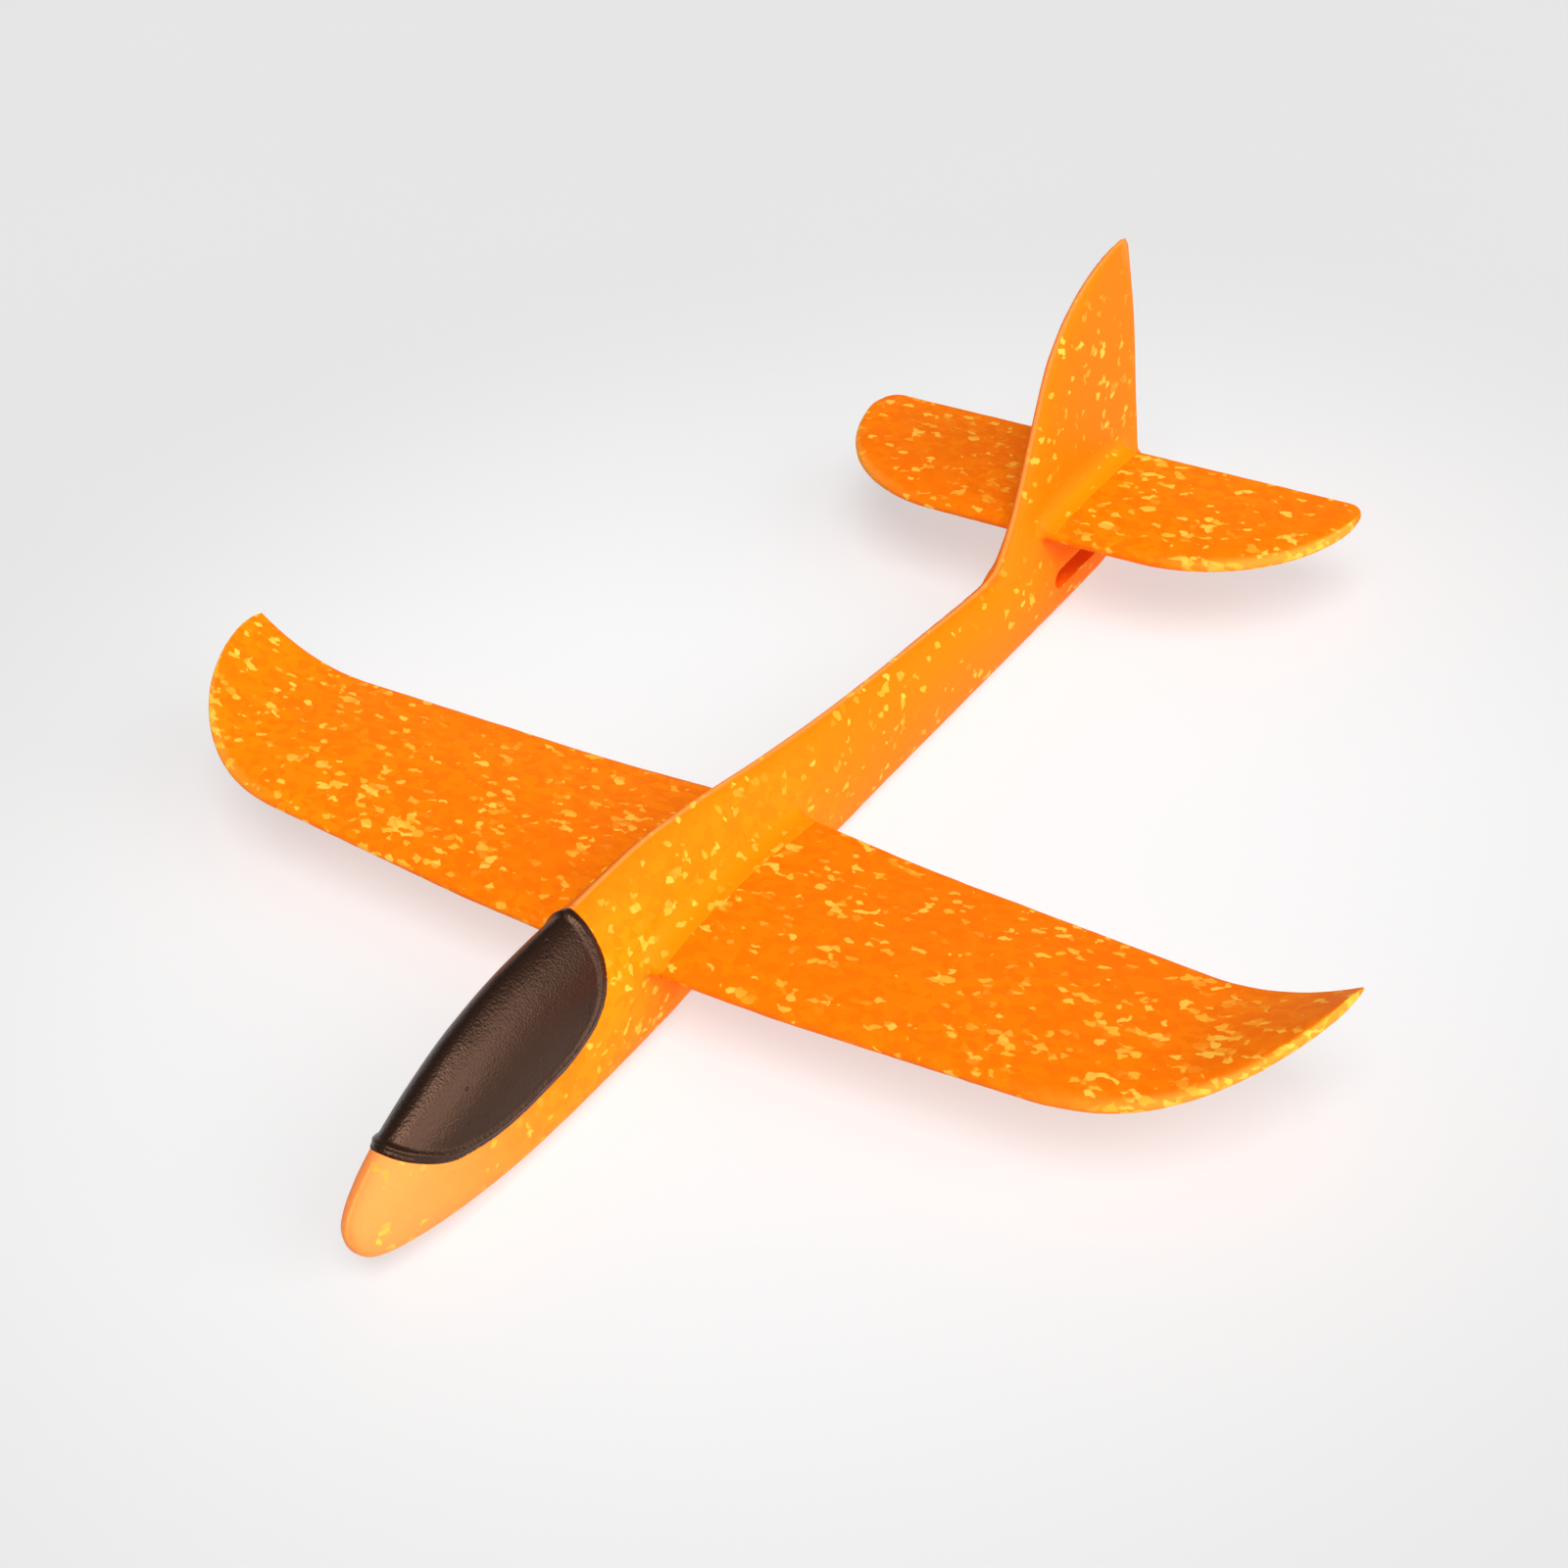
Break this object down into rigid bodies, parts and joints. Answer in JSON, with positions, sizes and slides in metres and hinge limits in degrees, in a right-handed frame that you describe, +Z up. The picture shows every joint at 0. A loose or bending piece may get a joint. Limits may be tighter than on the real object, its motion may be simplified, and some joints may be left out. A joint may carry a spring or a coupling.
{
  "type": "foam glider airplane",
  "caption": "Hand-launch foam glider with a tapered fuselage and fin, a straight wing with upswept tips, a slot-in tailplane and a dark inlaid canopy.",
  "frame": {"origin": "under the middle of the aeroplane's bounding box, on the plane that its belly rests on", "axes": "+Y aft along the fuselage, with the nose towards -Y; +X along the wing towards the left tip; +Z up"},
  "size_m": [0.48, 0.4902, 0.1263],
  "materials": {
    "fuselage_foam": "moulded bead foam, yellow-orange with small paler yellow flecks, matte with a faint satin skin",
    "wing_foam": "moulded bead foam, orange with small yellow flecks, matte with a faint satin skin",
    "tailplane_foam": "moulded bead foam, orange with small yellow flecks, matte with a faint satin skin",
    "canopy_shell": "fine-grained black-brown shell with a soft sheen",
    "weight_steel": "plain bright steel slug"
  },
  "bodies": {
    "fuselage": {"fuselage": "fuselage_foam", "canopy": "canopy_shell", "nose_weight": "weight_steel"},
    "wing": {"wing": "wing_foam"},
    "tailplane": {"tailplane": "tailplane_foam"}
  },
  "joints": [
    {"name": "wing_slide", "type": "slide", "parent": "fuselage", "child": "wing", "axis": [1, 0, 0], "range_m": [-0.03, 0.03]},
    {"name": "tail_slide", "type": "slide", "parent": "fuselage", "child": "tailplane", "axis": [1, 0, 0], "range_m": [-0.126, 0.126]}
  ]
}
